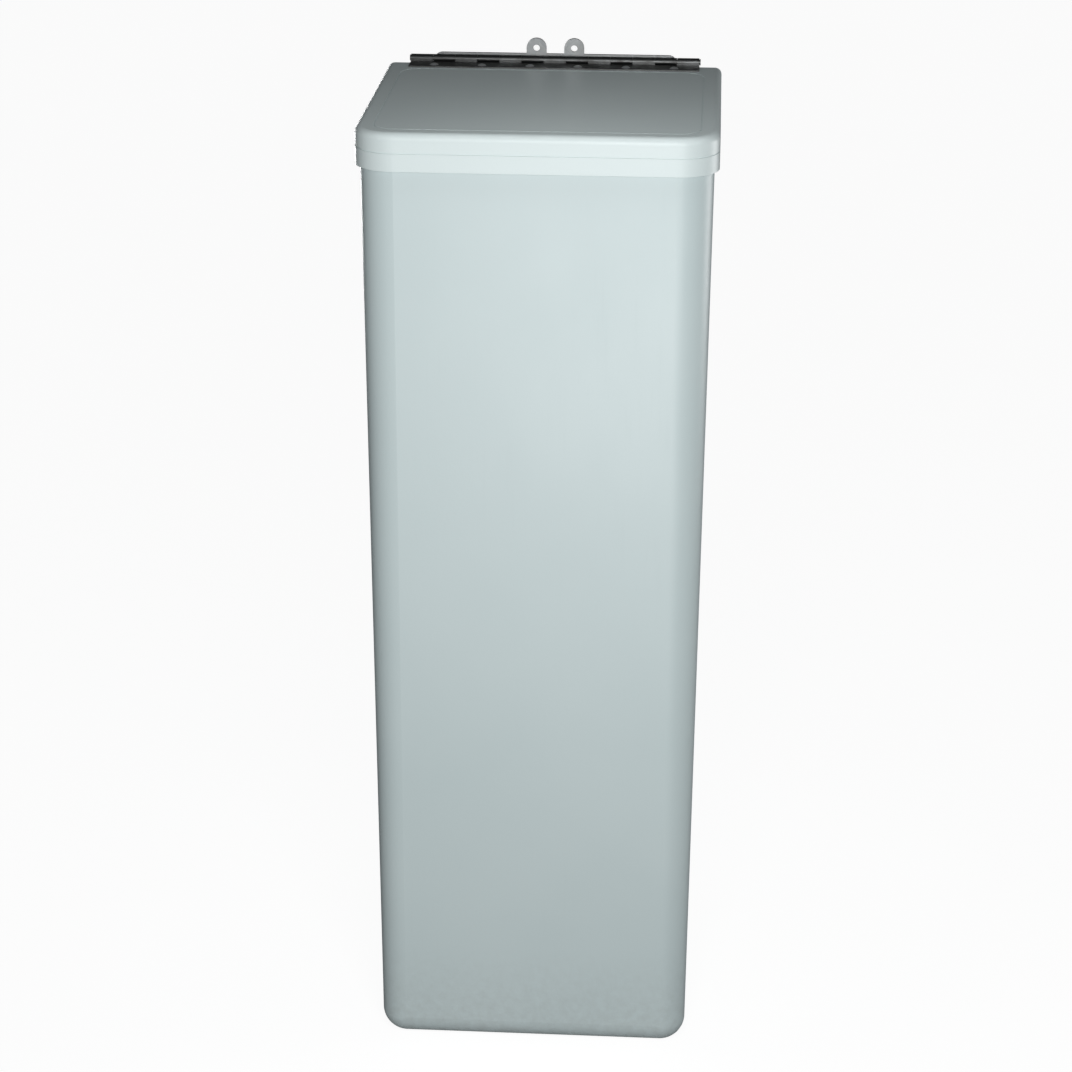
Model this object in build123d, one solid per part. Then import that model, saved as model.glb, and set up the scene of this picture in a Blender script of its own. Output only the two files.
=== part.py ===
from build123d import *

import os
from math import atan, cos, degrees, radians, sin

# A fire blanket in a wall case: a tall tapered moulded case, a cap lid on a piano hinge,
# and a wool blanket folded once and rolled inside.
# Millimetres, +Z up. The front faces -Y and the wall is the plane y = WALL_Y.
# The origin is at the centre of the case's base, on its underside.

# ---- driving dimensions ----
SKIN = 3.0  # moulded wall of the case and the lid

CASE_HALF = 146.0  # half the width at the rim
CASE_FRONT = -140.0  # at the rim
CASE_BACK = 138.0
CASE_TOP = 836.0
DRAFT = 7.0  # how far the front and each side come in from the rim to the base
CASE_CORNER = 30.0  # plan radius of the two front corners at the rim
CASE_FLOOR_ROUND = 22.0
CASE_BACK_ROUND = 5.0

MOUTH_HALF = 128.0
MOUTH_FRONT = -122.0
MOUTH_BACK = 128.5
MOUTH_CORNER = 20.0

LID_HALF = 150.0
LID_FRONT = -144.0
LID_BACK = 136.5
LID_TOP = 850.0
SKIRT = 32.0
LID_CORNER = 34.0
LID_EDGE_ROUND = 6.0
GROOVE_WIDTH = 1.2
GROOVE_DEPTH = 0.6
TOP_GROOVE_INSET = 15.0
TOP_GROOVE_BACK = 112.0
SKIRT_GROOVE_DROP = 16.0

SEAL_HALF = 136.0
SEAL_FRONT = -130.0
SEAL_BACK = 136.5
SEAL_WIDTH = 6.0
SEAL_CORNER = 24.0
SEAL_ROUND = 1.5

HINGE_Y = 141.5
HINGE_Z = 853.5
BARREL_R = 3.5
PIN_R = 2.0
PIN_HEAD_R = 2.8
PIN_HEAD = 1.0
RUN = 0.05  # radial play of a pin, a rivet or a bolt in its hole
KNUCKLES = 13
KNUCKLE = 20.0
KNUCKLE_GAP = 0.3
LEAF = 1.2
LEAF_GAP = 0.5  # between one leaf's notch and the other leaf
FIXED_LEAF_BOTTOM = 803.0
LID_LEAF_FRONT = 117.0

RIVET_R = 2.0
RIVET_HEAD_R = 4.0
RIVET_HEAD = 1.5
RIVETS = 6
RIVET_PITCH = 43.0
FIXED_RIVET_Z = 815.0
LID_RIVET_Y = 124.0
BACKING_HALF = 117.0
FIXED_BACKING = 1.2
FIXED_BACKING_TALL = 12.0
LID_BACKING = 1.5
LID_BACKING_WIDE = 10.0

WALL_Y = 149.0
PLATE = 3.0
PLATE_HALF = 110.0
PLATE_BOTTOM = 700.0
PLATE_TOP = 858.0
PLATE_CORNER = 8.0
EAR_X = 17.0
EAR_Z = 863.0
EAR_R = 9.0
EAR_HOLE_R = 3.0

BOLT_R = 3.0
BOLT_HEAD_R = 6.0
BOLT_X = 80.0
BOLT_HEIGHTS = (720.0, 780.0)
SPACER_R = 9.0
WASHER_R = 6.25
WASHER = 1.6
NUT_FLATS = 10.0
NUT = 5.0
BOLT_PAST_NUT = 1.5

STANDOFF_X = 60.0
STANDOFF_Z = 120.0
STANDOFF_R = 12.0
STANDOFF_NECK_R = 6.0
STANDOFF_LIP_R = 9.0
STANDOFF_LIP = 2.0
STANDOFF_HOLE_R = 3.0
STANDOFF_ROUND = 1.5

PAD_HALF = 112.0
PAD_FRONT = -106.0
PAD_BACK = 128.0
PAD_CORNER = 14.0
PAD = 12.0

ROLL_R = 101.0
ROLL_TALL = 750.0
ROLL_ROUND = 6.0
SOFT_GAP = 0.3  # between the roll and what is sewn or wrapped on it
BAND = 1.5
BAND_TALL = 38.0
BAND_HEIGHTS = {"lower": 170.0, "upper": 620.0}
BAND_TAB_ANGLE = 34.0
TAPE = 2.0
TAPE_WIDE = 30.0
TAPE_LOOP_R = 50.0  # outer radius of the loop
TAPE_BOTTOM = 690.0
TAPE_TOP = 798.0
TAPE_ANGLE = 40.0  # to each side of the front
PATCH = 1.5
PATCH_WIDE = 34.0
PATCH_TALL = 28.0

# ---- worked out ----
LID_UNDER = LID_TOP - SKIN
INNER_BACK = CASE_BACK - SKIN
ROLL_BOTTOM = SKIN + PAD
HINGE_HALF = KNUCKLES * KNUCKLE / 2
PLATE_Y = WALL_Y - PLATE
FLARE_ROOM = 40.0  # how far the case's block runs past its back before it is cut flat
FROM_BASE = (Align.CENTER, Align.CENTER, Align.MIN)


# ---- helpers ----
def block(x, y, z):
    """A box from three (low, high) pairs."""
    middle = Location(((x[0] + x[1]) / 2, (y[0] + y[1]) / 2, (z[0] + z[1]) / 2))
    return middle * Box(x[1] - x[0], y[1] - y[0], z[1] - z[0])


def rod_x(radius, x0, x1, y, z):
    return Plane((x0, y, z), z_dir=(1, 0, 0)) * Cylinder(radius, x1 - x0, align=FROM_BASE)


def rod_y(radius, x, y0, y1, z):
    return Plane((x, y0, z), z_dir=(0, 1, 0)) * Cylinder(radius, y1 - y0, align=FROM_BASE)


def rod_z(radius, x, y, z0, z1):
    return Location((x, y, z0)) * Cylinder(radius, z1 - z0, align=FROM_BASE)


def tube_z(inner, outer, z0, z1):
    """A tube about the roll's axis."""
    return rod_z(outer, 0, 0, z0, z1) - rod_z(inner, 0, 0, z0 - 1, z1 + 1)


def plan(half, front, back, corner, z):
    """An outline with two rounded front corners and two square back corners."""
    outline = Plane((0, (front + back) / 2, z)) * Rectangle(2 * half, back - front)
    return fillet(outline.vertices().group_by(Axis.Y)[0], corner)


def rounded_block(half, front, back, corner, z0, z1):
    outline = Plane((0, (front + back) / 2, z0)) * RectangleRounded(2 * half, back - front, corner)
    return extrude(outline, z1 - z0)


def row(count, pitch):
    """Places along X, centred on the middle."""
    return [(i - (count - 1) / 2) * pitch for i in range(count)]


def corners(half, heights):
    return [(x, z) for x in (-half, half) for z in heights]


def group(solids):
    return Compound(children=solids)


# ---- case ----
def case_form(inset, z0, z1):
    """The case as a solid block, drawn in by inset. It tapers on every side but the back."""
    in_from_rim = DRAFT * (1 - z0 / CASE_TOP)
    half = CASE_HALF - in_from_rim - inset
    front = CASE_FRONT + in_from_rim + inset
    corner = CASE_CORNER - in_from_rim - inset
    base = plan(half, front, CASE_BACK + FLARE_ROOM, corner, z0)
    flared = extrude(base, z1 - z0, taper=-degrees(atan(DRAFT / CASE_TOP)))
    wide = CASE_HALF + FLARE_ROOM
    form = flared & block((-wide, wide), (-wide, CASE_BACK - inset), (z0, z1))
    floor_edges = form.faces().sort_by(Axis.Z)[0].edges().sort_by(Axis.Y)[:-1]
    form = fillet(floor_edges, CASE_FLOOR_ROUND - inset)
    back_edges = form.faces().sort_by(Axis.Y)[-1].edges().filter_by(lambda e: e.center().Z < z1 - 1)
    return fillet(back_edges, CASE_BACK_ROUND - inset)


def case_body():
    hollow = case_form(SKIN, SKIN, CASE_TOP - SKIN)
    mouth = rounded_block(
        MOUTH_HALF, MOUTH_FRONT, MOUTH_BACK, MOUTH_CORNER, CASE_TOP - 2 * SKIN, CASE_TOP + 1
    )
    through = (INNER_BACK - 1, CASE_BACK + 1)
    holes = [rod_y(RIVET_R + RUN, x, *through, FIXED_RIVET_Z) for x in row(RIVETS, RIVET_PITCH)]
    holes += [rod_y(BOLT_R + RUN, x, *through, z) for x, z in corners(BOLT_X, BOLT_HEIGHTS)]
    holes += [
        rod_y(STANDOFF_NECK_R + RUN, x, *through, STANDOFF_Z) for x in (-STANDOFF_X, STANDOFF_X)
    ]
    return (case_form(0, 0, CASE_TOP) - hollow) - [mouth, *holes]


def rim_seal():
    """A rubber seal with a flat crown, standing on the rim flange."""
    outer = rounded_block(SEAL_HALF, SEAL_FRONT, SEAL_BACK, SEAL_CORNER, CASE_TOP, LID_UNDER)
    inner = rounded_block(
        SEAL_HALF - SEAL_WIDTH,
        SEAL_FRONT + SEAL_WIDTH,
        SEAL_BACK - SEAL_WIDTH,
        SEAL_CORNER - SEAL_WIDTH,
        CASE_TOP - 1,
        LID_UNDER + 1,
    )
    ring = outer - inner
    return fillet(ring.faces().sort_by(Axis.Z)[-1].edges(), SEAL_ROUND)


def base_pad():
    return rounded_block(PAD_HALF, PAD_FRONT, PAD_BACK, PAD_CORNER, SKIN, ROLL_BOTTOM)


# ---- lid ----
def lid_form(inset, back, z0, z1):
    """The lid as a solid block with its front and side top edges rounded."""
    outline = plan(LID_HALF - inset, LID_FRONT + inset, back, LID_CORNER - inset, z0)
    form = extrude(outline, z1 - z0)
    top_edges = form.faces().sort_by(Axis.Z)[-1].edges().sort_by(Axis.Y)[:-1]
    return fillet(top_edges, LID_EDGE_ROUND - inset)


def top_groove():
    """A shallow ring pressed into the lid's top."""

    def outline(inset):
        return rounded_block(
            LID_HALF - inset,
            LID_FRONT + inset,
            TOP_GROOVE_BACK - (inset - TOP_GROOVE_INSET),
            LID_CORNER - inset,
            LID_TOP - GROOVE_DEPTH,
            LID_TOP + 1,
        )

    return outline(TOP_GROOVE_INSET) - outline(TOP_GROOVE_INSET + GROOVE_WIDTH)


def skirt_groove():
    """A shallow line round the front and the sides of the skirt."""
    top = LID_TOP - SKIRT_GROOVE_DROP
    beyond = LID_BACK + 1
    outside = extrude(plan(LID_HALF + 5, LID_FRONT - 5, beyond, LID_CORNER + 5, top), -GROOVE_WIDTH)
    kept = extrude(
        plan(
            LID_HALF - GROOVE_DEPTH,
            LID_FRONT + GROOVE_DEPTH,
            beyond + 1,
            LID_CORNER - GROOVE_DEPTH,
            top + 1,
        ),
        -GROOVE_WIDTH - 2,
    )
    return outside - kept


def lid():
    """A cap open at the back, so that it swings up without meeting the case."""
    shell = lid_form(0, LID_BACK, LID_TOP - SKIRT, LID_TOP)
    hollow = lid_form(SKIN, LID_BACK + 1, LID_TOP - SKIRT - 1, LID_UNDER)
    holes = [
        rod_z(RIVET_R + RUN, x, LID_RIVET_Y, LID_UNDER - 1, LID_TOP + 1)
        for x in row(RIVETS, RIVET_PITCH)
    ]
    return (shell - hollow) - [top_groove(), skirt_groove(), *holes]


# ---- hinge ----
def knuckle_spans(on_lid):
    """The low and high X of each knuckle of one leaf; the case's leaf has both ends."""
    first = 1 if on_lid else 0
    middles = row(KNUCKLES, KNUCKLE)[first::2]
    reach = (KNUCKLE - KNUCKLE_GAP) / 2
    return [(x - reach, x + reach) for x in middles]


def with_knuckles(plate, on_lid, tongue):
    """plate with its tongues and knuckles, and one bore through all of them."""
    for x0, x1 in knuckle_spans(on_lid):
        plate += block((x0, x1), *tongue)
        plate += rod_x(BARREL_R, x0, x1, HINGE_Y, HINGE_Z)
    return plate - rod_x(PIN_R + RUN, -HINGE_HALF - 1, HINGE_HALF + 1, HINGE_Y, HINGE_Z)


def hinge_fixed_leaf():
    face = (CASE_BACK, CASE_BACK + LEAF)
    notch = LID_TOP - LEAF_GAP
    plate = block((-HINGE_HALF, HINGE_HALF), face, (FIXED_LEAF_BOTTOM, notch))
    leaf = with_knuckles(plate, False, (face, (notch - 1, HINGE_Z)))
    holes = [
        rod_y(RIVET_R + RUN, x, CASE_BACK - 1, CASE_BACK + LEAF + 1, FIXED_RIVET_Z)
        for x in row(RIVETS, RIVET_PITCH)
    ]
    return leaf - holes


def hinge_lid_leaf():
    face = (LID_TOP, LID_TOP + LEAF)
    notch = CASE_BACK - LEAF_GAP
    plate = block((-HINGE_HALF, HINGE_HALF), (LID_LEAF_FRONT, notch), face)
    leaf = with_knuckles(plate, True, ((notch - 1, HINGE_Y), face))
    holes = [
        rod_z(RIVET_R + RUN, x, LID_RIVET_Y, LID_TOP - 1, LID_TOP + LEAF + 1)
        for x in row(RIVETS, RIVET_PITCH)
    ]
    return leaf - holes


def hinge_pin():
    pin = rod_x(PIN_R, -HINGE_HALF, HINGE_HALF, HINGE_Y, HINGE_Z)
    pin += rod_x(PIN_HEAD_R, -HINGE_HALF - PIN_HEAD, -HINGE_HALF, HINGE_Y, HINGE_Z)
    pin += rod_x(PIN_HEAD_R, HINGE_HALF, HINGE_HALF + PIN_HEAD, HINGE_Y, HINGE_Z)
    return pin


def rivet(grip):
    """A rivet along +Z with a domed head at each end of its grip."""
    dome_r = (RIVET_HEAD_R**2 + RIVET_HEAD**2) / (2 * RIVET_HEAD)
    dome = Location((0, 0, RIVET_HEAD - dome_r)) * Sphere(dome_r)
    dome = dome & rod_z(RIVET_HEAD_R + 1, 0, 0, 0, RIVET_HEAD + 1)
    low = mirror(dome, Plane.XY)
    return rod_z(RIVET_R, 0, 0, 0, grip) + Location((0, 0, grip)) * dome + low


def hinge_fixed_rivets():
    start = INNER_BACK - FIXED_BACKING
    one = rivet(CASE_BACK + LEAF - start)
    return group(
        [Plane((x, start, FIXED_RIVET_Z), z_dir=(0, 1, 0)) * one for x in row(RIVETS, RIVET_PITCH)]
    )


def hinge_lid_rivets():
    start = LID_UNDER - LID_BACKING
    one = rivet(LID_TOP + LEAF - start)
    return group([Location((x, LID_RIVET_Y, start)) * one for x in row(RIVETS, RIVET_PITCH)])


def hinge_fixed_backing():
    y = (INNER_BACK - FIXED_BACKING, INNER_BACK)
    z = (FIXED_RIVET_Z - FIXED_BACKING_TALL / 2, FIXED_RIVET_Z + FIXED_BACKING_TALL / 2)
    strip = block((-BACKING_HALF, BACKING_HALF), y, z)
    holes = [
        rod_y(RIVET_R + RUN, x, y[0] - 1, y[1] + 1, FIXED_RIVET_Z) for x in row(RIVETS, RIVET_PITCH)
    ]
    return strip - holes


def hinge_lid_backing():
    y = (LID_RIVET_Y - LID_BACKING_WIDE / 2, LID_RIVET_Y + LID_BACKING_WIDE / 2)
    z = (LID_UNDER - LID_BACKING, LID_UNDER)
    strip = block((-BACKING_HALF, BACKING_HALF), y, z)
    holes = [
        rod_z(RIVET_R + RUN, x, LID_RIVET_Y, z[0] - 1, z[1] + 1) for x in row(RIVETS, RIVET_PITCH)
    ]
    return strip - holes


# ---- wall fixings ----
def countersink():
    """The cone of a bolt's flush head, through the plate's thickness."""
    cone = Cone(BOLT_R, BOLT_HEAD_R, PLATE, align=FROM_BASE)
    return [
        Plane((x, PLATE_Y, z), z_dir=(0, 1, 0)) * cone for x, z in corners(BOLT_X, BOLT_HEIGHTS)
    ]


def wall_plate():
    """A flat plate with two hanging ears that stand above the hinge."""
    middle = Plane((0, PLATE_Y, (PLATE_BOTTOM + PLATE_TOP) / 2), x_dir=(1, 0, 0), z_dir=(0, 1, 0))
    outline = RectangleRounded(2 * PLATE_HALF, PLATE_TOP - PLATE_BOTTOM, PLATE_CORNER)
    plate = extrude(middle * outline, PLATE)
    for x in (-EAR_X, EAR_X):
        plate += block((x - EAR_R, x + EAR_R), (PLATE_Y, WALL_Y), (PLATE_TOP - 10, EAR_Z))
        plate += rod_y(EAR_R, x, PLATE_Y, WALL_Y, EAR_Z)
    ears = [rod_y(EAR_HOLE_R, x, PLATE_Y - 1, WALL_Y + 1, EAR_Z) for x in (-EAR_X, EAR_X)]
    return plate - [*ears, *countersink()]


def wall_plate_spacers():
    return group(
        [
            rod_y(SPACER_R, x, CASE_BACK, PLATE_Y, z)
            - rod_y(BOLT_R + RUN, x, CASE_BACK - 1, PLATE_Y + 1, z)
            for x, z in corners(BOLT_X, BOLT_HEIGHTS)
        ]
    )


def wall_plate_bolts():
    start = INNER_BACK - WASHER - NUT - BOLT_PAST_NUT
    places = corners(BOLT_X, BOLT_HEIGHTS)
    shanks = [rod_y(BOLT_R, x, start, PLATE_Y, z) for x, z in places]
    return group([shank + head for shank, head in zip(shanks, countersink())])


def wall_plate_washers():
    y = (INNER_BACK - WASHER, INNER_BACK)
    return group(
        [
            rod_y(WASHER_R, x, *y, z) - rod_y(BOLT_R + RUN, x, y[0] - 1, y[1] + 1, z)
            for x, z in corners(BOLT_X, BOLT_HEIGHTS)
        ]
    )


def wall_plate_nuts():
    start = INNER_BACK - WASHER - NUT
    blank = extrude(RegularPolygon(NUT_FLATS / 2, 6, major_radius=False), NUT)
    nut = blank - rod_z(BOLT_R + RUN, 0, 0, -1, NUT + 1)
    return group(
        [Plane((x, start, z), z_dir=(0, 1, 0)) * nut for x, z in corners(BOLT_X, BOLT_HEIGHTS)]
    )


def lower_standoffs():
    """Rubber grommets that hold the case's lower half off the wall."""
    grommets = []
    for x in (-STANDOFF_X, STANDOFF_X):
        grommet = rod_y(STANDOFF_R, x, CASE_BACK, WALL_Y, STANDOFF_Z)
        grommet = fillet(grommet.faces().sort_by(Axis.Y)[-1].edges(), STANDOFF_ROUND)
        grommet += rod_y(STANDOFF_NECK_R, x, INNER_BACK, CASE_BACK, STANDOFF_Z)
        grommet += rod_y(STANDOFF_LIP_R, x, INNER_BACK - STANDOFF_LIP, INNER_BACK, STANDOFF_Z)
        bore = rod_y(STANDOFF_HOLE_R, x, INNER_BACK - 2 * STANDOFF_LIP, WALL_Y + 1, STANDOFF_Z)
        grommets.append(grommet - bore)
    return group(grommets)


# ---- blanket ----
def blanket_roll():
    roll = rod_z(ROLL_R, 0, 0, ROLL_BOTTOM, ROLL_BOTTOM + ROLL_TALL)
    return fillet(roll.edges().filter_by(GeomType.CIRCLE), ROLL_ROUND)


def retaining_band(middle):
    """A hook-and-loop band with its free end lapped over it at the front."""
    low, high = middle - BAND_TALL / 2, middle + BAND_TALL / 2
    inner = ROLL_R + SOFT_GAP
    lap = tube_z(inner + BAND, inner + 2 * BAND, low, high)
    reach = inner * sin(radians(BAND_TAB_ANGLE / 2))
    front = block((-reach, reach), (-2 * ROLL_R, 0), (low, high))
    return tube_z(inner, inner + BAND, low, high) + (lap & front)


def at_tape(side):
    """The plane through the roll's axis that faces outward at one pull tape."""
    aside, ahead = side * sin(radians(TAPE_ANGLE)), cos(radians(TAPE_ANGLE))
    return Plane((0, 0, 0), x_dir=(ahead, aside, 0), z_dir=(aside, -ahead, 0))


def pull_tape(side):
    """A webbing loop that lies on the roll's front and stands above its top."""
    bend = TAPE_TOP - TAPE_LOOP_R
    legs = Location((0, (TAPE_BOTTOM + bend) / 2)) * Rectangle(2 * TAPE_LOOP_R, bend - TAPE_BOTTOM)
    outside = legs + Location((0, bend)) * Circle(TAPE_LOOP_R)
    inner_r = TAPE_LOOP_R - TAPE_WIDE
    slot = Location((0, (TAPE_BOTTOM + bend) / 2)) * Rectangle(2 * inner_r, bend - TAPE_BOTTOM)
    inside = slot + Location((0, bend)) * Circle(inner_r)
    loop = extrude(at_tape(side) * (outside - inside), 2 * ROLL_R)
    inner = ROLL_R + SOFT_GAP
    return loop & tube_z(inner, inner + TAPE, TAPE_BOTTOM - 1, TAPE_TOP + 1)


def tape_patches():
    """Sewn patches over the foot of each leg."""
    inner = ROLL_R + SOFT_GAP + TAPE
    shell = tube_z(inner, inner + PATCH, TAPE_BOTTOM, TAPE_BOTTOM + PATCH_TALL)
    patches = []
    for side in (-1, 1):
        for leg in (-1, 1):
            middle = Location((leg * (TAPE_LOOP_R - TAPE_WIDE / 2), TAPE_BOTTOM + PATCH_TALL / 2))
            outline = middle * Rectangle(PATCH_WIDE, PATCH_TALL)
            patches.append(shell & extrude(at_tape(side) * outline, 2 * ROLL_R))
    return group(patches)


# ---- write one file per node ----
def save(shape, name):
    export_step(shape, f"parts/{name}.step")


def main():
    os.makedirs("parts", exist_ok=True)
    pieces = (
        case_body,
        rim_seal,
        base_pad,
        lid,
        hinge_fixed_leaf,
        hinge_lid_leaf,
        hinge_pin,
        hinge_fixed_rivets,
        hinge_lid_rivets,
        hinge_fixed_backing,
        hinge_lid_backing,
        wall_plate,
        wall_plate_spacers,
        wall_plate_bolts,
        wall_plate_washers,
        wall_plate_nuts,
        lower_standoffs,
        blanket_roll,
        tape_patches,
    )
    for piece in pieces:
        save(piece(), piece.__name__)
    for name, middle in BAND_HEIGHTS.items():
        save(retaining_band(middle), f"retaining_band_{name}")
    for name, side in (("left", -1), ("right", 1)):
        save(pull_tape(side), f"pull_tape_{name}")


main()
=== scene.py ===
import math

import bpy
from mathutils import Matrix, Vector


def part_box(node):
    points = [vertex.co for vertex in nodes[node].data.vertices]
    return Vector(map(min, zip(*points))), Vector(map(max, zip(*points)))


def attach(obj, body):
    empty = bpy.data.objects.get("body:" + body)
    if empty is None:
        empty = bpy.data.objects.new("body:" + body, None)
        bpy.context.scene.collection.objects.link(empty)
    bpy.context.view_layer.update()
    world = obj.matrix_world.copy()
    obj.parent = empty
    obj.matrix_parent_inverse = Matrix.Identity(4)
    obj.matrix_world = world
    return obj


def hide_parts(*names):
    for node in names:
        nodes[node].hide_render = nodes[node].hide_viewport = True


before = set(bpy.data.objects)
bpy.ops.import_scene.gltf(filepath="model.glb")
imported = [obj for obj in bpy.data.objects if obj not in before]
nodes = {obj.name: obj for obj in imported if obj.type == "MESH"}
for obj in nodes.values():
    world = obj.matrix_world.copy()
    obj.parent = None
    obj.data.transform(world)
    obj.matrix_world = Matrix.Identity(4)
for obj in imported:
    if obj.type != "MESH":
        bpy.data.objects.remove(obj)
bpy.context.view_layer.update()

# Lengths are in metres, angles in radians and light powers in watts.

# ---- camera, on the fitted viewpoint of the photograph ----
LENS_MM = 94.0
SENSOR_MM = 36.0
CAMERA_AT = Vector((0.142, -2.360, 1.366))
CAMERA_DOWN = math.radians(21.215)
CAMERA_YAW = math.radians(-3.601)
CAMERA_ROLL = math.radians(0.228)
CAMERA_REACH = 200.0

# ---- the blanket, as it is cut, folded and rolled ----
BLANKET_LONG = 2.0
WOOL = 0.0046  # thickness of one ply
PLY_PITCH = 1.42  # between the middles of the two plies, in thicknesses
ROLL_CORE = 0.018  # radius where the winding starts
ROLL_MARGIN = 0.0012  # left between the outermost cloth and the CAD roll's radius
FREE_END = math.radians(-35)  # where the roll's outer end lies, from +X
WRAP_GAP = 0.0004  # between the true spiral and what is wrapped round it
EDGE_DROP = 0.2  # from the CAD roll's head to the plies' top edges, in thicknesses
RIPPLE = 0.00035  # how far the plies wander, at the top
RIPPLE_AT_FOOT = 0.35  # the part of it that is left at the foot
SAG = 0.0030  # how far the top edge dips on average
SAG_SLOW = 0.0022  # and the slow and quick waves round that
SAG_QUICK = 0.0012
WINDING_STEPS = 210
PLY_ROWS = 26  # down one ply
ROW_EASE = 0.4  # how much closer the rows lie at the top and the foot, up to 1
FOLD_STEPS = 6  # round the fold at the foot

# ---- whip stitches over the blanket's top edges ----
YARN = 0.0006  # radius
STITCH_STEP = 0.011
STITCH_HALF = 0.002  # half a stitch's length along the edge
STITCH_DEPTH = 0.0055
STITCH_TOP = 0.45  # from the CAD roll's head to a stitch's top, in wool thicknesses
STITCH_PROUD = 0.3  # from the cloth's face to the thread's middle, in yarn radii
STITCH_BEND = 1.6  # the power that bends a stitch over the edge
STITCH_POINTS = 9
THREAD_SIDES = 5

# ---- hook-and-loop bands ----
FRONT = math.radians(270)  # the side of the roll that faces the front, from +X
BAND_CLOTH = 0.0014
BAND_LAP = math.radians(34)
LAP_RISE = 1.15  # lift of the lapped end, in band thicknesses
LAP_RAMP = 0.35  # the part of the lap over which the end rises
LAP_LEAD = 0.6  # the part of that ramp that lies before the lap
BAND_CURL = 0.0004  # how far a band's edges turn in
BAND_STEPS = 230
BAND_ROWS = 9

# ---- pull tapes ----
WEBBING = 0.0018
TAPE_HALF = 0.015  # half the webbing's width
LOOP_RADIUS = 0.035  # to the middle of a pull tape
TAPE_SIDE_ANGLE = math.radians(40)  # from the front to a tape's middle
TAPE_GAP = 0.0006  # between the roll and a tape
TAPE_FOOT_MARGIN = 0.001
LEAN_BELOW_HEAD = 0.012  # the loop starts to lean out this far below the roll's head
LEAN_HEIGHT = 0.045
LEAN_AT_HEIGHT = 0.009  # how far out it is, LEAN_HEIGHT above that
TAPE_WAVE = 0.0006
TAPE_WAVE_RATE = 46.0  # radians for each metre along the tape
LEG_STEPS = 18
BEND_STEPS = 22
TAPE_ROWS = 7

# ---- sewn patches ----
PATCH_HALF = 0.017
PATCH_CLOTH = 0.0014
PATCH_MIDDLE = 0.0009  # from a tape's outer face to the middle of a patch
PATCH_GRID = 8
THREAD = 0.00035  # radius
SEAM_INSET = 0.003
SEAM_STEP = 0.0030
SEAM_STITCH = 0.0022
SEAM_OUT = 0.0017  # from a tape's outer face to the thread's ends
SEAM_ARCH = 0.00035
SEAM_POINTS = 5

# ---- foam pad ----
PAD_RINGS = 26
PAD_SPOKES = 96
PAD_LAYERS = 4  # down the pad's side
PAD_POWER = 2 / 9  # of the rounded-square outline
PAD_MARGIN = 0.0002  # kept inside the CAD pad, above and below
PAD_PRESSED = 0.0012  # under the roll
PRESS_EDGE = 1.03  # where the pressing has faded to half, in roll radii
PRESS_SHARPNESS = 40
PAD_EDGE_FROM = 0.93  # the rounding of the top starts here, from 0 in the middle to 1
PAD_EDGE_DROP = 0.0035
PAD_BULGE = 0.004  # how far the side draws in at its top and foot, as a share
PAD_WELD = 0.00005

# ---- colours ----
CASE_COLOUR = (0.548, 0.632, 0.638)
CASE_SHADE = (0.528, 0.614, 0.621)
# The lid's two tones are its own pale plastic, set lighter than the case's as painted light: the
# lift stands in for the extra light on the lid's rim.
LID_COLOUR_AND_PAINTED_LIGHT = (0.650, 0.728, 0.728)
LID_SHADE_AND_PAINTED_LIGHT = (0.632, 0.712, 0.713)
GRIME = (0.24, 0.235, 0.21)
HINGE_STEEL = (0.085, 0.088, 0.088)
HINGE_TARNISH = (0.050, 0.048, 0.046)
ALLOY = (0.72, 0.73, 0.74)
ALLOY_TARNISH = (0.45, 0.45, 0.45)
ZINC = (0.58, 0.58, 0.55)
ZINC_TARNISH = (0.40, 0.38, 0.31)
SEAL_RUBBER = (0.028, 0.028, 0.030)
STANDOFF_RUBBER = (0.035, 0.034, 0.033)
RED_WEBBING = (0.46, 0.030, 0.024)
RED_WEBBING_DARK = (0.16, 0.010, 0.008)
EDGE_YARN = (0.50, 0.46, 0.38)
SEWING_THREAD = (0.62, 0.60, 0.55)

# ---- heights that dirt reaches ----
CASE_GRIME_TOP = 0.10
LID_GRIME_TOP = 0.01

# ---- floor and light ----
FLOOR_HALF = 40.0
FLOOR_GLOW = 0.94
WORLD_COLOUR = (0.94, 0.98, 1.0)
WORLD_STRENGTH = 0.105
# name, place, target, (width, height), power
KEY_LIGHT = ("key", (0.12, -1.15, 1.06), (0.0, 0.0, 0.60), (0.40, 0.30), 7.1)
FILL_LIGHTS = (
    ("low_fill", (0.15, -1.70, 0.20), (0.0, 0.0, 0.20), (0.60, 0.40), 10.2),
    ("over_lid", (0.05, -0.20, 1.11), (0.05, -0.17, 0.85), (0.34, 0.05), 0.25),
    ("back_fill", (-0.6, 2.0, 0.42), (0.0, 0.0, 0.50), (1.2, 0.5), 22.0),
    ("right_fill", (1.7, 0.75, 0.42), (0.0, 0.0, 0.45), (0.8, 0.5), 9.0),
    ("side_fill", (-1.8, -0.6, 0.8), (0.0, 0.0, 0.45), (0.8, 1.4), 1.2),
)


# ---------------------------------------------------------------- small mesh helpers
def link(piece):
    bpy.context.scene.collection.objects.link(piece)


def new_mesh(name, points, faces, smooth=True):
    mesh = bpy.data.meshes.new(name)
    mesh.from_pydata([tuple(p) for p in points], [], faces)
    mesh.validate()
    piece = bpy.data.objects.new(name, mesh)
    link(piece)
    if smooth:
        mesh.shade_smooth()
    return piece


def grid_faces(rows, columns):
    """Quads of a grid of points, stored row by row."""
    faces = []
    for r in range(rows - 1):
        for c in range(columns - 1):
            a = r * columns + c
            b = a + columns
            faces.append((a, b, b + 1, a + 1))
    return faces


def add_uv(piece, places):
    """A UV layer from one place per vertex, in metres along the cloth."""
    layer = piece.data.uv_layers.new(name="cloth")
    for loop in piece.data.loops:
        layer.data[loop.index].uv = places[loop.vertex_index]


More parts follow.
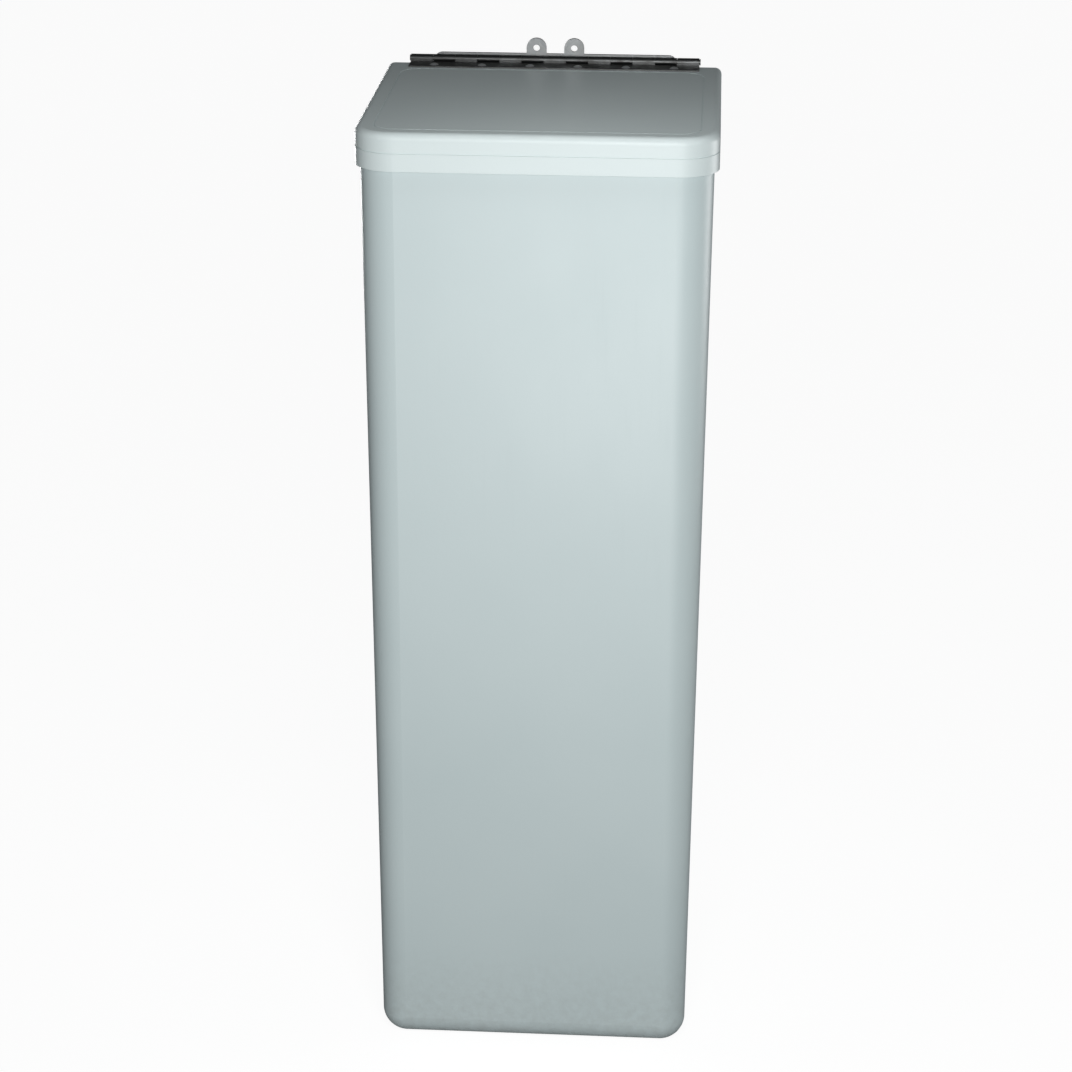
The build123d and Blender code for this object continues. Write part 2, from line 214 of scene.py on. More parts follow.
def apply_modifiers(piece):
    graph = bpy.context.evaluated_depsgraph_get()
    mesh = bpy.data.meshes.new_from_object(piece.evaluated_get(graph), depsgraph=graph)
    piece.modifiers.clear()
    piece.data = mesh
    mesh.shade_smooth()


def set_material(piece, material):
    piece.data.materials.clear()
    piece.data.materials.append(material)


def new_cloth(name, points, faces, places, thickness, material):
    """A sheet with its thickness to both sides and its edges rounded."""
    piece = new_mesh(name, points, faces)
    add_uv(piece, places)
    solid = piece.modifiers.new("thickness", "SOLIDIFY")
    solid.thickness = thickness
    solid.offset = 0.0
    solid.use_even_offset = True
    soft = piece.modifiers.new("soft", "SUBSURF")
    soft.levels = 1
    soft.render_levels = 1
    apply_modifiers(piece)
    set_material(piece, material)
    return piece


def add_thread(path, radius, points, faces):
    """Adds a closed round thread along a path to lists of points and faces."""
    start = len(points)
    count = len(path)
    sides = THREAD_SIDES
    slanted = Vector((0.31, 0.17, 0.93))  # the thread's sides are placed from this
    for i, p in enumerate(path):
        along = (path[min(i + 1, count - 1)] - path[max(i - 1, 0)]).normalized()
        across = along.cross(slanted).normalized()
        up = along.cross(across)
        for k in range(sides):
            t = 2 * math.pi * k / sides
            points.append(p + radius * (math.cos(t) * across + math.sin(t) * up))
    for i in range(count - 1):
        for k in range(sides):
            a = start + i * sides + k
            b = start + i * sides + (k + 1) % sides
            faces.append((a, b, b + sides, a + sides))
    faces.append(tuple(start + k for k in reversed(range(sides))))
    faces.append(tuple(start + (count - 1) * sides + k for k in range(sides)))


# ---------------------------------------------------------------- material helpers
def rgb(r, g, b):
    return (r, g, b, 1.0)


def dimmed(colour, share):
    return rgb(*[share * c for c in colour])


class Nodes:
    """A short way to write a material's node tree."""

    def __init__(self, name):
        self.material = bpy.data.materials.new(name)
        self.material.use_nodes = True
        self.tree = self.material.node_tree
        self.shader = self.tree.nodes["Principled BSDF"]

    def add(self, kind, inputs=(), **settings):
        node = self.tree.nodes.new(kind)
        for key, value in settings.items():
            setattr(node, key, value)
        for key, value in dict(inputs).items():
            self.put(node.inputs[key], value)
        return node

    def put(self, socket, value):
        if isinstance(value, bpy.types.NodeSocket):
            self.tree.links.new(value, socket)
        else:
            socket.default_value = value

    def set(self, **values):
        """Sets inputs of the main shader, with _ for the spaces in their names."""
        for key, value in values.items():
            self.put(self.shader.inputs[key.replace("_", " ")], value)

    def where(self):
        return self.add("ShaderNodeTexCoord").outputs["Object"]

    def cloth(self):
        """The place on a cloth, as add_uv gives it."""
        return self.add("ShaderNodeUVMap", uv_map="cloth").outputs["UV"]

    def stretched(self, scale):
        inputs = {"Vector": self.where(), "Scale": scale}
        return self.add("ShaderNodeMapping", inputs).outputs["Vector"]

    def noise(self, scale, detail=3.0, rough=0.5, place=None):
        inputs = {
            "Vector": place or self.where(),
            "Scale": scale,
            "Detail": detail,
            "Roughness": rough,
        }
        return self.add("ShaderNodeTexNoise", inputs).outputs["Fac"]

    def cells(self, scale):
        inputs = {"Vector": self.where(), "Scale": scale}
        return self.add("ShaderNodeTexVoronoi", inputs).outputs

    def wave(self, place, scale, distortion, **settings):
        inputs = {"Vector": place, "Scale": scale, "Distortion": distortion}
        return self.add("ShaderNodeTexWave", inputs, **settings)

    def band(self, value, low, high, to_low=0.0, to_high=1.0):
        """A value from low to high, mapped to to_low to to_high and held at both ends."""
        inputs = {
            "Value": value,
            "From Min": low,
            "From Max": high,
            "To Min": to_low,
            "To Max": to_high,
        }
        return self.add("ShaderNodeMapRange", inputs, clamp=True).outputs["Result"]

    def mix(self, share, one, other):
        node = self.add("ShaderNodeMix", data_type="RGBA")
        self.put(node.inputs["Factor"], share)
        self.put(node.inputs["A"], one)
        self.put(node.inputs["B"], other)
        return node.outputs["Result"]

    def calculate(self, operation, one, other):
        node = self.add("ShaderNodeMath", operation=operation)
        self.put(node.inputs[0], one)
        self.put(node.inputs[1], other)
        return node.outputs["Value"]

    def plus(self, one, other):
        return self.calculate("ADD", one, other)

    def times(self, one, other):
        return self.calculate("MULTIPLY", one, other)

    def bump(self, height, distance, strength, under=None):
        inputs = {"Height": height, "Distance": distance, "Strength": strength}
        if under is not None:
            inputs["Normal"] = under
        return self.add("ShaderNodeBump", inputs).outputs["Normal"]

    def axis(self, vector, name):
        return self.add("ShaderNodeSeparateXYZ", {"Vector": vector}).outputs[name]


# ---------------------------------------------------------------- materials
def moulded(name, colour, shade, grime_top):
    """Satin moulded plastic: long ripples, orange peel, hairline scuffs and dirt low down."""
    m = Nodes(name)
    cloudy = m.noise(scale=7.0)
    body = m.mix(m.band(cloudy, 0.3, 0.7), rgb(*colour), rgb(*shade))
    speckle = m.band(m.noise(scale=900.0, detail=2.0), 0.64, 0.78, to_high=0.10)
    body = m.mix(speckle, body, dimmed(shade, 0.72))

    low = m.band(m.axis(m.where(), "Z"), 0.0, grime_top, 1.0, 0.0)
    dust = m.band(m.noise(scale=120.0, detail=6.0, rough=0.7), 0.35, 0.80)
    body = m.mix(m.times(m.times(low, dust), 0.35), body, rgb(*GRIME))

    upright = m.stretched((1.0, 1.0, 0.03))
    hairs = m.band(m.noise(scale=260.0, rough=0.6, place=upright), 0.56, 0.78)
    worn = m.band(m.noise(scale=11.0, detail=2.0), 0.45, 0.70)
    scuffs = m.times(hairs, worn)
    body = m.mix(m.times(scuffs, 0.10), body, dimmed(shade, 0.80))

    smear = m.noise(scale=16.0, place=m.stretched((1.0, 1.0, 0.5)))
    rough = m.plus(m.band(smear, 0.25, 0.75, 0.37, 0.43), m.times(scuffs, 0.08))
    ripple = m.bump(m.noise(scale=6.0, detail=1.0), distance=0.0012, strength=0.5)
    peel_height = m.noise(scale=420.0, detail=2.0)
    peel = m.bump(peel_height, distance=0.00008, strength=0.35, under=ripple)
    m.set(Base_Color=body, Roughness=rough, Normal=peel, IOR=1.48)
    return m.material


def steel(name, colour, tarnish, brushed=(1.0, 60.0, 60.0)):
    """Brushed metal with patches of tarnish. The lines run where brushed is smallest."""
    m = Nodes(name)
    lines = m.noise(scale=40.0, detail=5.0, rough=0.7, place=m.stretched(brushed))
    stains = m.band(m.noise(scale=55.0, detail=5.0, rough=0.65), 0.42, 0.70)
    body = m.mix(m.times(stains, 0.7), rgb(*colour), rgb(*tarnish))
    rough = m.plus(m.band(lines, 0.25, 0.75, 0.28, 0.44), m.times(stains, 0.15))
    grain = m.bump(lines, distance=0.00008, strength=0.5)
    m.set(Base_Color=body, Roughness=rough, Metallic=1.0, Normal=grain)
    return m.material


def galvanised(name):
    """Zinc-coated steel with its crystal pattern and some white rust."""
    m = Nodes(name)
    grey = m.band(m.axis(m.cells(scale=95.0)["Color"], "X"), 0.0, 1.0)
    body = m.mix(grey, rgb(0.26, 0.27, 0.275), rgb(0.40, 0.41, 0.41))
    white_rust = m.band(m.noise(scale=26.0, detail=6.0, rough=0.7), 0.58, 0.72, to_high=0.45)
    body = m.mix(white_rust, body, rgb(0.62, 0.63, 0.62))
    rough = m.plus(m.band(grey, 0.0, 1.0, 0.42, 0.58), m.times(white_rust, 0.5))
    grain = m.bump(m.noise(scale=300.0), distance=0.00006, strength=0.4)
    m.set(Base_Color=body, Roughness=rough, Metallic=1.0, Normal=grain)
    return m.material


def rubber(name, colour):
    """Black rubber with a grey bloom."""
    m = Nodes(name)
    bloom = m.band(m.noise(scale=45.0, detail=5.0, rough=0.6), 0.5, 0.8, to_high=0.35)
    body = m.mix(bloom, rgb(*colour), rgb(0.11, 0.11, 0.11))
    rough = m.band(m.noise(scale=120.0), 0.3, 0.7, 0.52, 0.72)
    grain = m.bump(m.noise(scale=700.0, detail=2.0), distance=0.00010, strength=0.5)
    m.set(Base_Color=body, Roughness=rough, Normal=grain)
    return m.material


def foam(name):
    """Open-celled dark foam."""
    m = Nodes(name)
    pores = m.cells(scale=520.0)["Distance"]
    body = m.mix(m.band(pores, 0.1, 0.6), rgb(0.020, 0.020, 0.022), rgb(0.085, 0.085, 0.09))
    rough = m.band(m.noise(scale=90.0), 0.3, 0.7, 0.82, 0.95)
    pits = m.bump(pores, distance=0.0006, strength=0.8)
    m.set(Base_Color=body, Roughness=rough, Normal=pits)
    return m.material


def wool(name):
    """Heavy undyed wool: a fine twill under a raised nap, with darker flecks."""
    m = Nodes(name)
    turn = (0, 0, math.radians(52))
    turned = m.add("ShaderNodeMapping", {"Vector": m.cloth(), "Rotation": turn})
    twill = m.wave(turned.outputs["Vector"], scale=95.0, distortion=2.2)
    twill.inputs["Detail"].default_value = 2.0
    ribs = twill.outputs["Fac"]
    nap = m.noise(scale=620.0, detail=5.0, rough=0.75)
    tufts = m.noise(scale=120.0, detail=4.0, rough=0.6)

    body = m.mix(m.band(tufts, 0.3, 0.7), rgb(0.40, 0.38, 0.34), rgb(0.56, 0.54, 0.49))
    body = m.mix(m.band(nap, 0.60, 0.74, to_high=0.55), body, rgb(0.16, 0.15, 0.14))
    body = m.mix(m.band(ribs, 0.0, 0.5, 0.25, 0.0), body, rgb(0.25, 0.24, 0.21))
    weave = m.bump(ribs, distance=0.0005, strength=0.35)
    rough = m.band(nap, 0.3, 0.7, 0.86, 0.98)
    raised = m.bump(m.plus(nap, tufts), distance=0.0011, strength=0.75, under=weave)
    m.set(Base_Color=body, Roughness=rough, Normal=raised)
    m.set(Sheen_Weight=0.35, Sheen_Roughness=0.5)
    return m.material


def webbing(name, colour, dark):
    """Flat woven tape: fine cords along it, crossed by ribs."""
    rib = 0.0015
    cord = 0.0009
    wave_scale = 0.32  # divided by this texture's scale, about its bands' spacing
    m = Nodes(name)
    cloth = m.cloth()
    ribs = m.wave(cloth, wave_scale / rib, 0.4, bands_direction="X")
    cords = m.wave(cloth, wave_scale / cord, 0.3, bands_direction="Y")
    weave = m.times(ribs.outputs["Fac"], cords.outputs["Fac"])
    worn = m.band(m.noise(scale=70.0, detail=4.0), 0.45, 0.75, to_high=0.35)
    faded = rgb(*[min(1.0, 1.35 * c + 0.03) for c in colour])
    body = m.mix(m.band(weave, 0.0, 0.6), rgb(*dark), rgb(*colour))
    body = m.mix(worn, body, faded)
    rough = m.band(weave, 0.0, 1.0, 0.82, 0.62)
    raised = m.bump(weave, distance=0.00035, strength=0.8)
    m.set(Base_Color=body, Roughness=rough, Normal=raised, Sheen_Weight=0.15)
    return m.material


def hook_and_loop(name):
    """The black loop side of hook-and-loop tape."""
    m = Nodes(name)
    loops = m.noise(scale=1500.0, detail=4.0, rough=0.8)
    body = m.mix(m.band(loops, 0.4, 0.65), rgb(0.012, 0.012, 0.014), rgb(0.075, 0.075, 0.08))
    rough = m.band(loops, 0.3, 0.7, 0.80, 0.97)
    raised = m.bump(loops, distance=0.0005, strength=0.9)
    m.set(Base_Color=body, Roughness=rough, Normal=raised, Sheen_Weight=0.2)
    return m.material


def yarn(name, colour):
    """Twisted sewing yarn."""
    m = Nodes(name)
    plies = m.noise(scale=1400.0, rough=0.7)
    body = m.mix(m.band(plies, 0.35, 0.65), dimmed(colour, 0.6), rgb(*colour))
    rough = m.band(plies, 0.3, 0.7, 0.7, 0.9)
    twist = m.bump(plies, distance=0.0002, strength=0.7)
    m.set(Base_Color=body, Roughness=rough, Normal=twist)
    return m.material


# ---------------------------------------------------------------- materials of the CAD pieces
def dress(material, *names):
    for name in names:
        for slot in nodes[name].material_slots:
            slot.material = material


def dress_cad():
    dress(moulded("case_moulding", CASE_COLOUR, CASE_SHADE, CASE_GRIME_TOP), "case_body")
    # The lid's material carries painted light: its colours are raised above the case's for the
    # light on its rim.
    dress(moulded("lid_moulding_and_painted_light", LID_COLOUR_AND_PAINTED_LIGHT, LID_SHADE_AND_PAINTED_LIGHT, LID_GRIME_TOP), "lid")
    dress(rubber("seal_rubber", SEAL_RUBBER), "rim_seal")
    dress(rubber("standoff_rubber", STANDOFF_RUBBER), "lower_standoffs")
    dress(
        steel("hinge_steel", HINGE_STEEL, HINGE_TARNISH),
        "hinge_fixed_leaf",
        "hinge_lid_leaf",
        "hinge_pin",
    )
    dress(
        steel("rivet_alloy", ALLOY, ALLOY_TARNISH, (30.0, 30.0, 30.0)),
        "hinge_fixed_rivets",
        "hinge_lid_rivets",
    )
    dress(
        steel("zinc_plating", ZINC, ZINC_TARNISH, (25.0, 25.0, 25.0)),
        "hinge_fixed_backing",
        "hinge_lid_backing",
        "wall_plate_spacers",
        "wall_plate_bolts",
        "wall_plate_washers",
        "wall_plate_nuts",
    )
    dress(galvanised("plate_zinc"), "wall_plate")


# ---------------------------------------------------------------- the rolled blanket
roll_low, roll_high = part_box("blanket_roll")
ROLL_FOOT = roll_low.z
ROLL_HEAD = roll_high.z
ROLL_RADIUS = (roll_high.x - roll_low.x) / 2
PLY_STEP = WOOL * PLY_PITCH / 2  # from the pair's middle to the middle of either ply
ROLL_END = ROLL_RADIUS - PLY_STEP - WOOL / 2 - ROLL_MARGIN
GROWTH = (ROLL_END**2 - ROLL_CORE**2) / (2 * BLANKET_LONG)  # metres of radius for each radian
LAST_TURN = (ROLL_END - ROLL_CORE) / GROWTH


def turn_at(length):
    """The angle wound after that length of doubled blanket."""
    return (math.sqrt(ROLL_CORE**2 + 2 * GROWTH * length) - ROLL_CORE) / GROWTH


def on_spiral(turn, out, z):
    """A point at a winding angle, moved outward, at a height."""
    radius = ROLL_CORE + GROWTH * turn + out
    angle = FREE_END + turn - LAST_TURN
    return Vector((radius * math.cos(angle), radius * math.sin(angle), z))


def fold_section():
    """(outward, height, distance along the cloth) down a ply, round the fold and up again."""
    bend = PLY_STEP
    straight = ROLL_HEAD - ROLL_FOOT - bend - WOOL / 2
    top = ROLL_HEAD - WOOL * EDGE_DROP
    section = []
    for i in range(PLY_ROWS):
        share = i / (PLY_ROWS - 1)
        eased = 0.5 - 0.5 * math.cos(math.pi * share)
        drop = straight * ((1 - ROW_EASE) * share + ROW_EASE * eased)
        section.append((-bend, top - drop, drop))
    for i in range(1, FOLD_STEPS):
        angle = math.pi * i / FOLD_STEPS
        z = ROLL_FOOT + WOOL / 2 + bend - bend * math.sin(angle)
        section.append((-bend * math.cos(angle), z, straight + bend * angle))
    for _, z, far in reversed(section[:PLY_ROWS]):
        section.append((bend, z, 2 * straight + math.pi * bend - far))
    return section


def share_up(z):
    return (z - ROLL_FOOT) / (ROLL_HEAD - ROLL_FOOT)


def ripple_at(turn, z, out):
    """A loose roll isn't a true spiral: each ply wanders a little, most near the top."""
    up = share_up(z)
    side = 1.0 if out > 0 else -1.0
    wave = math.sin(2.7 * turn + 1.3 * side) + 0.6 * math.sin(6.1 * turn + 5.0 * up)
    return RIPPLE * wave * (RIPPLE_AT_FOOT + (1 - RIPPLE_AT_FOOT) * up * up)


def sag_at(turn, up):
    """How far the cloth dips near its top edge."""
    waves = SAG_SLOW * math.sin(1.9 * turn) + SAG_QUICK * math.sin(5.3 * turn)
    return up**6 * (SAG + waves)


def blanket_point(turn, out, z):
    return on_spiral(turn, out + ripple_at(turn, z, out), z - sag_at(turn, share_up(z)))


def make_blanket():
    section = fold_section()
    points = []
    places = []
    for i in range(WINDING_STEPS + 1):
        length = BLANKET_LONG * i / WINDING_STEPS
        turn = turn_at(length)
        for out, z, far in section:
            points.append(blanket_point(turn, out, z))
            places.append((length, far))
    faces = grid_faces(WINDING_STEPS + 1, len(section))
    piece = new_cloth("wool_blanket", points, faces, places, WOOL, wool("wool"))
    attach(piece, "blanket")
    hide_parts("blanket_roll")
    return piece


def make_edge_stitching():
    """Whip stitches over both top edges of the blanket."""
    points = []
    faces = []
    beside = WOOL / 2 + YARN * STITCH_PROUD
    top = ROLL_HEAD - WOOL * STITCH_TOP
    last = STITCH_POINTS - 1
    for side in (-1, 1):
        for i in range(1, int(BLANKET_LONG / STITCH_STEP)):
            start = turn_at(i * STITCH_STEP - STITCH_HALF)
            end = turn_at(i * STITCH_STEP + STITCH_HALF)
            path = []
            for k in range(STITCH_POINTS):
                angle = math.pi * k / last
                turn = start + (end - start) * k / last
                z = top - STITCH_DEPTH * (1 - math.sin(angle)) ** STITCH_BEND
                out = side * PLY_STEP - beside * math.cos(angle) + ripple_at(turn, z, side)
                path.append(on_spiral(turn, out, z - sag_at(turn, 1.0)))
            add_thread(path, YARN, points, faces)
    piece = new_mesh("blanket_edge_stitching", points, faces)
    set_material(piece, yarn("edge_yarn", EDGE_YARN))
    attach(piece, "blanket")
    return piece


# ---------------------------------------------------------------- bands and tapes round the roll
def half_hull(ordered):
    """One side of the convex outline of sorted points, without its last point."""
    kept = []
    for p in ordered:
        while len(kept) > 1:
            a, b = kept[-2:]
            if (b[0] - a[0]) * (p[1] - a[1]) - (b[1] - a[1]) * (p[0] - a[0]) > 0:
                break
            kept.pop()
        kept.append(p)
    return kept[:-1]


def hull(points):
    """The convex outline of points in a plane, anticlockwise."""
    ordered = sorted(points)
    return half_hull(ordered) + half_hull(ordered[::-1])


def reach(edge, angle):
    """How far a closed outline round the origin is from it, at an angle from +X."""
    dx = math.cos(angle)
    dy = math.sin(angle)
    found = 0.0
    for (ax, ay), (bx, by) in zip(edge, edge[1:]):
        ex = bx - ax
        ey = by - ay
        bottom = dx * ey - dy * ex
        if abs(bottom) < 1e-12:
            continue
        along = (ax * ey - ay * ex) / bottom
        share = (ax * dy - ay * dx) / bottom
        if along > 0 and -1e-9 <= share <= 1 + 1e-9:
            found = max(found, along)
    return found


def roll_outline():
    """The tight loop round the roll, as a radius for each whole degree from +X."""
    outer = PLY_STEP + WOOL / 2 + WRAP_GAP
    ring = []
    for i in range(361):
        p = on_spiral(LAST_TURN - 2 * math.pi * i / 360, outer, 0)
        ring.append((p.x, p.y))
    edge = hull(ring)
    edge.append(edge[0])
    return [reach(edge, math.radians(degree)) for degree in range(360)]


OUTLINE = roll_outline()


def round_roll(angle, out, z):
    """A point on the tight loop at an angle from +X, moved outward."""
    degree = math.degrees(angle) % 360
    low = int(degree) % 360
    share = degree - int(degree)
    radius = OUTLINE[low] * (1 - share) + OUTLINE[(low + 1) % 360] * share + out
    return Vector((radius * math.cos(angle), radius * math.sin(angle), z))


def make_band(node, name, cloth):
    """A hook-and-loop band: one ring and its free end lapped over at the front."""
    low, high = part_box(node)
    start = FRONT + BAND_LAP / 2
    end = start + 2 * math.pi + BAND_LAP
    points = []
    places = []
    for i in range(BAND_STEPS + 1):
        angle = start + (end - start) * i / BAND_STEPS
        over = (angle - start - 2 * math.pi) / (BAND_LAP * LAP_RAMP)
        lift = BAND_CLOTH * LAP_RISE * min(1.0, max(0.0, over + LAP_LEAD))
        for k in range(BAND_ROWS):
            across = k / (BAND_ROWS - 1)
            curl = BAND_CURL * (2 * across - 1) ** 4
            z = low.z + (high.z - low.z) * across
            points.append(round_roll(angle, BAND_CLOTH / 2 + lift - curl, z))
            places.append(((angle - start) * ROLL_RADIUS, z))
    faces = grid_faces(BAND_STEPS + 1, BAND_ROWS)
    piece = new_cloth(name, points, faces, places, BAND_CLOTH, cloth)
    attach(piece, "blanket")
    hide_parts(node)


def tape_line(foot, head):
    """(sideways, height, angle of the webbing's width) up a leg, over the bend and down."""
    bend_z = head - LOOP_RADIUS - TAPE_HALF
    line = []
    for i in range(LEG_STEPS):
        z = foot + (bend_z - foot) * i / LEG_STEPS
        line.append((-LOOP_RADIUS, z, math.pi))
    for i in range(BEND_STEPS + 1):
        angle = math.pi * (1 - i / BEND_STEPS)
        z = bend_z + LOOP_RADIUS * math.sin(angle)
        line.append((LOOP_RADIUS * math.cos(angle), z, angle))
    for i in range(LEG_STEPS):
        z = bend_z - (bend_z - foot) * (i + 1) / LEG_STEPS
        line.append((LOOP_RADIUS, z, 0.0))
    return line


def on_tape(side, sideways, z, out):
    """A point outside the roll where a tape lies. Above the roll the loop leans out a little."""
    middle = FRONT + side * TAPE_SIDE_ANGLE
    free = max(0.0, z - (ROLL_HEAD - LEAN_BELOW_HEAD))
    lean = LEAN_AT_HEIGHT * (free / LEAN_HEIGHT) ** 2
    return round_roll(middle + sideways / ROLL_RADIUS, out + TAPE_GAP + lean, z)


def make_tape(side, node, cloth):
    """A webbing loop, flat on the roll below and standing above it."""
    low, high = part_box(node)
    points = []
    places = []
    far = 0.0
    last = None
    for sideways, z, angle in tape_line(low.z + TAPE_FOOT_MARGIN, high.z):
        here = Vector((sideways, z))
        if last is not None:
            far += (here - last).length
        last = here
        wave = TAPE_WAVE * math.sin(far * TAPE_WAVE_RATE + side)
        for k in range(TAPE_ROWS):
            across = TAPE_HALF * (2 * k / (TAPE_ROWS - 1) - 1)
            s = sideways + math.cos(angle) * across
            h = z + math.sin(angle) * across
            points.append(on_tape(side, s, h, WEBBING / 2 + wave * (z > ROLL_HEAD)))
            places.append((far, across))
    faces = grid_faces(len(points) // TAPE_ROWS, TAPE_ROWS)
    piece = new_cloth(node + "_webbing", points, faces, places, WEBBING, cloth)
    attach(piece, "blanket")
    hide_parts(node)


def sew_box(side, leg, foot, head, points, faces):
    """Adds the stitches of a box and a cross, inside a patch's edges."""
    left = leg * LOOP_RADIUS - PATCH_HALF + SEAM_INSET
    right = leg * LOOP_RADIUS + PATCH_HALF - SEAM_INSET
    low = foot + SEAM_INSET
    high = head - SEAM_INSET
    corners = [(left, low), (right, low), (right, high), (left, high), (left, low)]
    cross = [(corners[0], corners[2]), (corners[1], corners[3])]
    last = SEAM_POINTS - 1
    for (s0, z0), (s1, z1) in list(zip(corners, corners[1:])) + cross:
        length = math.hypot(s1 - s0, z1 - z0)
        for i in range(int(length / SEAM_STEP)):
            path = []
            for k in range(SEAM_POINTS):
                t = (i * SEAM_STEP + SEAM_STITCH * k / last) / length
                s = s0 + (s1 - s0) * t
                z = z0 + (z1 - z0) * t
                rise = SEAM_OUT + SEAM_ARCH * math.sin(math.pi * k / last)
                path.append(on_tape(side, s, z, WEBBING + rise))
            add_thread(path, THREAD, points, faces)


def make_patches(cloth):
    """A doubled patch over the foot of each leg, with a sewn box and cross."""
    low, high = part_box("tape_patches")
    points = []
    faces = []
    places = []
    threads = []
    thread_faces = []
    for side in (-1, 1):
        for leg in (-1, 1):
            start = len(points)
            for r in range(PATCH_GRID + 1):
                for c in range(PATCH_GRID + 1):
                    s = leg * LOOP_RADIUS + PATCH_HALF * (2 * c / PATCH_GRID - 1)
                    z = low.z + (high.z - low.z) * r / PATCH_GRID
                    points.append(on_tape(side, s, z, WEBBING + PATCH_MIDDLE))
                    places.append((z, s))
            for face in grid_faces(PATCH_GRID + 1, PATCH_GRID + 1):
                faces.append(tuple(start + corner for corner in face))
            sew_box(side, leg, low.z, high.z, threads, thread_faces)
    piece = new_cloth("tape_patch_webbing", points, faces, places, PATCH_CLOTH, cloth)
    sewing = new_mesh("tape_patch_stitching", threads, thread_faces)
    set_material(sewing, yarn("sewing_thread", SEWING_THREAD))
    for made in (piece, sewing):
        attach(made, "blanket")
    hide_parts("tape_patches")


# ---------------------------------------------------------------- the foam pad
def make_pad():
    """A foam pad with soft edges, pressed down in the middle by the roll."""
    low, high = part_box("base_pad")
    middle = (low + high) / 2
    half = (high - low) / 2
    points = []
    for i in range(PAD_RINGS + 1):
        share = i / PAD_RINGS
        for k in range(PAD_SPOKES):
            angle = 2 * math.pi * k / PAD_SPOKES
            c = math.cos(angle)
            s = math.sin(angle)
            x = half.x * share * math.copysign(abs(c) ** PAD_POWER, c)
            y = half.y * share * math.copysign(abs(s) ** PAD_POWER, s)
            from_roll = math.hypot(x + middle.x, y + middle.y) / ROLL_RADIUS
            pressed = PAD_PRESSED / (1 + math.exp((from_roll - PRESS_EDGE) * PRESS_SHARPNESS))
            outside = max(0.0, (share - PAD_EDGE_FROM) / (1 - PAD_EDGE_FROM))
            z = high.z - PAD_MARGIN - pressed - PAD_EDGE_DROP * outside**2
            points.append((middle.x + x, middle.y + y, z))
    rim = points[-PAD_SPOKES:]
    for i in range(1, PAD_LAYERS + 1):
        z = high.z - (high.z - low.z) * i / PAD_LAYERS + PAD_MARGIN
        bulge = 1 - PAD_BULGE * abs(2 * i / PAD_LAYERS - 1)
        for x, y, _ in rim:
            x = middle.x + (x - middle.x) * bulge
            y = middle.y + (y - middle.y) * bulge
            points.append((x, y, z))
    faces = []
    for i in range(PAD_RINGS + PAD_LAYERS):
        for k in range(PAD_SPOKES):
            a = i * PAD_SPOKES + k
            b = i * PAD_SPOKES + (k + 1) % PAD_SPOKES
            faces.append((a, a + PAD_SPOKES, b + PAD_SPOKES, b))
    under = (PAD_RINGS + PAD_LAYERS) * PAD_SPOKES
    faces.append(tuple(under + k for k in reversed(range(PAD_SPOKES))))
    piece = new_mesh("foam_pad", points, faces)
    weld = piece.modifiers.new("weld", "WELD")  # the first ring is one point
    weld.merge_threshold = PAD_WELD
    apply_modifiers(piece)
    set_material(piece, foam("foam"))
    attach(piece, "case")
    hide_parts("base_pad")


# ---------------------------------------------------------------- floor, light and camera
def make_floor():
    """A pale floor that mostly glows, so that it stays even, and lights nothing else."""
    size = FLOOR_HALF
    corners = [(-size, -size, 0), (size, -size, 0), (size, size, 0), (-size, size, 0)]
    floor = new_mesh("floor", corners, [(0, 1, 2, 3)], smooth=False)
    m = Nodes("pale_floor")
    faint = m.band(m.noise(scale=3.0, detail=4.0), 0.3, 0.7)
    colour = m.mix(faint, rgb(0.11, 0.11, 0.11), rgb(0.13, 0.13, 0.13))
    m.set(Base_Color=colour, Roughness=0.8)
    m.set(Emission_Color=rgb(1.0, 1.0, 1.0), Emission_Strength=FLOOR_GLOW)
    set_material(floor, m.material)
    floor.visible_diffuse = False
    floor.visible_glossy = False
    return floor


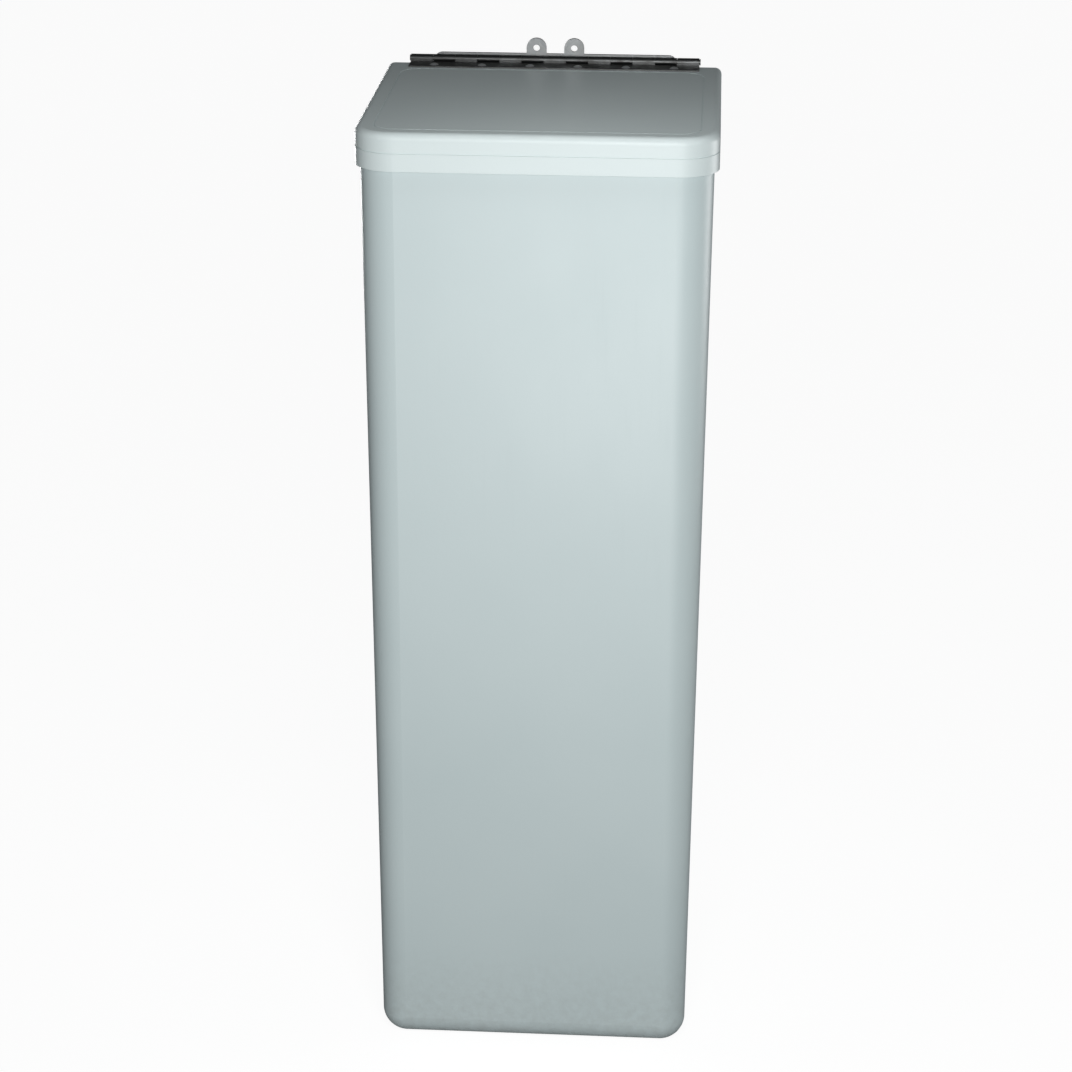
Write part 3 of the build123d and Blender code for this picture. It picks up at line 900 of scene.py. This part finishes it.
def area_light(name, place, target, size, power):
    data = bpy.data.lights.new(name, "AREA")
    data.shape = "RECTANGLE"
    data.size, data.size_y = size
    data.energy = power
    light = bpy.data.objects.new(name, data)
    light.location = place
    light.visible_camera = False
    ahead = Vector(target) - Vector(place)
    light.rotation_euler = ahead.to_track_quat("-Z", "Y").to_euler()
    link(light)
    return light


def pass_over(floor, lights):
    """Keeps these lights off the floor, so that they leave no edge on it."""
    spared = bpy.data.collections.new("spared")
    spared.objects.link(floor)
    spared.collection_objects[0].light_linking.link_state = "EXCLUDE"
    for light in lights:
        light.light_linking.receiver_collection = spared


def make_lights(floor):
    world = bpy.data.worlds.new("studio")
    bpy.context.scene.world = world
    world.use_nodes = True
    background = world.node_tree.nodes["Background"]
    background.inputs["Color"].default_value = rgb(*WORLD_COLOUR)
    background.inputs["Strength"].default_value = WORLD_STRENGTH
    area_light(*KEY_LIGHT)
    pass_over(floor, [area_light(*fill) for fill in FILL_LIGHTS])


def make_camera():
    data = bpy.data.cameras.new("camera")
    data.lens = LENS_MM
    data.sensor_width = SENSOR_MM
    data.clip_end = CAMERA_REACH
    camera = bpy.data.objects.new("camera", data)
    level = math.cos(CAMERA_DOWN)
    across = math.sin(CAMERA_YAW)
    along = math.cos(CAMERA_YAW)
    ahead = Vector((across * level, along * level, -math.sin(CAMERA_DOWN)))
    right = Vector((along, -across, 0.0))
    right.rotate(Matrix.Rotation(-CAMERA_ROLL, 3, ahead))
    up = right.cross(ahead)
    turned = Matrix((right, up, -ahead)).transposed().to_4x4()
    camera.matrix_world = Matrix.Translation(CAMERA_AT) @ turned
    link(camera)
    bpy.context.scene.camera = camera


# ---------------------------------------------------------------- build it
bpy.context.scene.view_settings.view_transform = "Standard"
dress_cad()
band_cloth = hook_and_loop("hook_and_loop")
tape_cloth = webbing("red_webbing", RED_WEBBING, RED_WEBBING_DARK)
blanket = make_blanket()
stitching = make_edge_stitching()
make_band("retaining_band_lower", "lower_band", band_cloth)
make_band("retaining_band_upper", "upper_band", band_cloth)
make_tape(-1, "pull_tape_left", tape_cloth)
make_tape(1, "pull_tape_right", tape_cloth)
make_patches(tape_cloth)
make_pad()
make_lights(make_floor())
make_camera()
